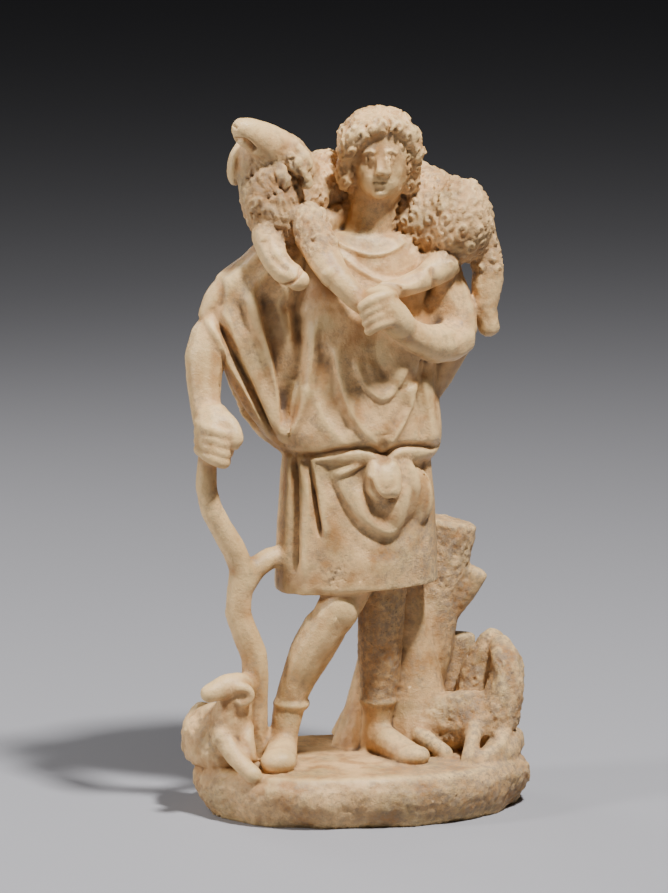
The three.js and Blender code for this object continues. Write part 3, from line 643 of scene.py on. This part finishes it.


# How far each point lies in a hollow or on a rise, finely and broadly: rises get a pale tone that is
# partly a painted highlight, hollows get earth, dirt and painted shade, and both set the roughness.
fine = ((rubbed(skin, 4) - skin) * outward).sum(1)
broad = ((rubbed(skin, 30) - skin) * outward).sum(1)
hollow = np.clip(fine / 0.5, -1, 1) * 0.6 + np.clip(broad / 3.0, -1, 1) * 0.4
hollow = rubbed(hollow[:, None], 2)[:, 0]
on_face = near_form(skin, FACE_FORM, 1.0) * (1 - hair_of(skin))
hollow -= 0.75 * on_face * np.clip(hollow, 0, 1)
crust = np.clip((skin[:, 0] - 2) / 40, 0, 1) * np.clip((205 - skin[:, 2]) / 50, 0, 1)
crust = np.maximum(crust, 0.75 * masked(skin, SHAGGY) * (1 - masked(skin, MUZZLE)))
crust = np.maximum(crust, 0.45 * masked(skin, FLEECE) * (1 - hair_of(skin)))
crust = np.maximum(crust, 0.6 * np.clip((-skin[:, 2] - 2) / 10, 0, 1))
crust = np.maximum(crust, masked(skin, STRAIGHT_LEG))
crust *= 1 - 0.7 * masked(skin, CLEAN_STUMP)
for name, values in (("hollow", hollow), ("crust", crust)):
    layer = marble.data.attributes.new(name, "FLOAT", "POINT")
    layer.data.foreach_set("value", values)

stone = bpy.data.materials.new("weathered_marble")
stone.use_nodes = True
shader = stone.node_tree.nodes["Principled BSDF"]
places = add_node(stone, "ShaderNodeTexCoord").outputs["Object"]
hollows = add_node(stone, "ShaderNodeAttribute", attribute_name="hollow").outputs["Fac"]
crusts = add_node(stone, "ShaderNodeAttribute", attribute_name="crust").outputs["Fac"]

# The patterns of the stone, each with the real size of its marks in millimetres. The grit is
# drawn coarser than the marble's own grain, so that it shows.
pattern = {}
for name, size, detail, roughness in (
    ("clouds", 38, 3, 0.55),
    ("cool", 26, 4, 0.55),
    ("blotches", 19, 6, 0.65),
    ("uneven", 12, 4, 0.6),
    ("grime", 5, 8, 0.75),
    ("grimy_parts", 34, 3, 0.55),
    ("crumbs", 4.5, 7, 0.75),
    ("specks", 2.2, 4, 0.75),
    ("grit", 1.2, 4, 0.7),
    ("pits", 4, 2, 0.5),
    ("ripples", 4, 6, 0.65),
):
    links = [("Vector", places), ("Scale", 1 / (size * MM)), ("Detail", detail), ("Roughness", roughness)]
    pattern[name] = add_node(stone, "ShaderNodeTexNoise", links).outputs["Fac"]

# How strongly each layer shows: a pattern or the hollows, between a low and a high value,
# brought to the layer's weakest and strongest share.
share = {}
for name, source, low, high, weakest, strongest in (
    ("clouds", pattern["clouds"], 0.35, 0.68, 0.0, 1.0),
    ("cool", pattern["cool"], 0.48, 0.7, 0.0, 0.45),
    ("blotches", pattern["blotches"], 0.47, 0.66, 0.0, 0.5),
    ("uneven", pattern["uneven"], 0.3, 0.6, 0.35, 1.0),
    ("grime", pattern["grime"], 0.45, 0.62, 0.0, 0.7),
    ("grimy_parts", pattern["grimy_parts"], 0.4, 0.6, 0.2, 1.0),
    ("crumbs", pattern["crumbs"], 0.42, 0.62, 0.0, 0.75),
    ("specks", pattern["specks"], 0.57, 0.7, 0.0, 0.55),
    ("pits", pattern["pits"], 0.64, 0.74, 0.0, -0.3),
    # A pale worn tone with a painted highlight on raised parts.
    ("worn_and_highlight", hollows, -0.1, -0.7, 0.0, 0.55),
    # Brown earth with painted shade in the hollows.
    ("earth_and_shade", hollows, 0.14, 0.8, 0.0, 0.75),
    # Dark dirt with painted shade in the deepest hollows.
    ("dirt_and_shade", hollows, 0.5, 0.95, 0.0, 0.85),
    ("dull", hollows, -0.4, 0.5, 0.4, 0.7),
):
    reach = [("From Min", low), ("From Max", high), ("To Min", weakest), ("To Max", strongest)]
    links = [("Value", source)] + reach
    level = add_node(stone, "ShaderNodeMapRange", links, interpolation_type="SMOOTHSTEP")
    share[name] = level.outputs["Result"]

# Grime lies in patches, the earth and painted shade in the hollows is uneven, and crumbs and specks gather
# on the crust.
everywhere = add_node(stone, "ShaderNodeMath", [(0, crusts), (1, 0.35)], operation="ADD")
for name, cover in (
    ("grime", share["grimy_parts"]),
    ("earth_and_shade", share["uneven"]),
    ("crumbs", crusts),
    ("specks", everywhere.outputs["Value"]),
):
    patchy = add_node(stone, "ShaderNodeMath", [(0, share[name]), (1, cover)], operation="MULTIPLY")
    share[name] = patchy.outputs["Value"]
colour = linear(CREAM)
for name, tone in (
    ("clouds", HONEY),
    ("cool", OLIVE),
    ("blotches", RUST),
    ("grime", GRIME),
    ("worn_and_highlight", WORN_AND_HIGHLIGHT),
    ("earth_and_shade", EARTH_AND_SHADE),
    ("dirt_and_shade", DIRT_AND_SHADE),
    ("crumbs", CRUST),
    ("specks", SPECK),
):
    layers = [("Factor", share[name]), (6, colour), (7, linear(tone))]
    colour = add_node(stone, "ShaderNodeMix", layers, data_type="RGBA").outputs[2]
stone.node_tree.links.new(colour, shader.inputs["Base Color"])
links = [(0, crusts), (1, 0.2), (2, share["dull"])]
dull = add_node(stone, "ShaderNodeMath", links, operation="MULTIPLY_ADD")
stone.node_tree.links.new(dull.outputs["Value"], shader.inputs["Roughness"])
shader.inputs["IOR"].default_value = 1.5
shader.inputs["Specular IOR Level"].default_value = 0.4
shader.inputs["Subsurface Weight"].default_value = 0.06
shader.inputs["Subsurface Radius"].default_value = (1.0, 0.72, 0.45)
shader.inputs["Subsurface Scale"].default_value = 0.003

# Relief too fine for the mesh: ripples and pits everywhere, and grit, strongest on the crust.
height = share["pits"]
gritty = add_node(stone, "ShaderNodeMath", [(0, crusts), (1, 1.1), (2, 0.35)], operation="MULTIPLY_ADD")
for marks, strength in ((pattern["ripples"], 1.1), (pattern["grit"], gritty.outputs["Value"])):
    links = [(0, marks), (1, strength), (2, height)]
    added = add_node(stone, "ShaderNodeMath", links, operation="MULTIPLY_ADD")
    height = added.outputs["Value"]
bump = add_node(stone, "ShaderNodeBump", [("Strength", 0.7), ("Distance", MM), ("Height", height)])
stone.node_tree.links.new(bump.outputs["Normal"], shader.inputs["Normal"])
marble.data.materials.clear()
marble.data.materials.append(stone)

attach(marble, "root")
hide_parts("statuette")
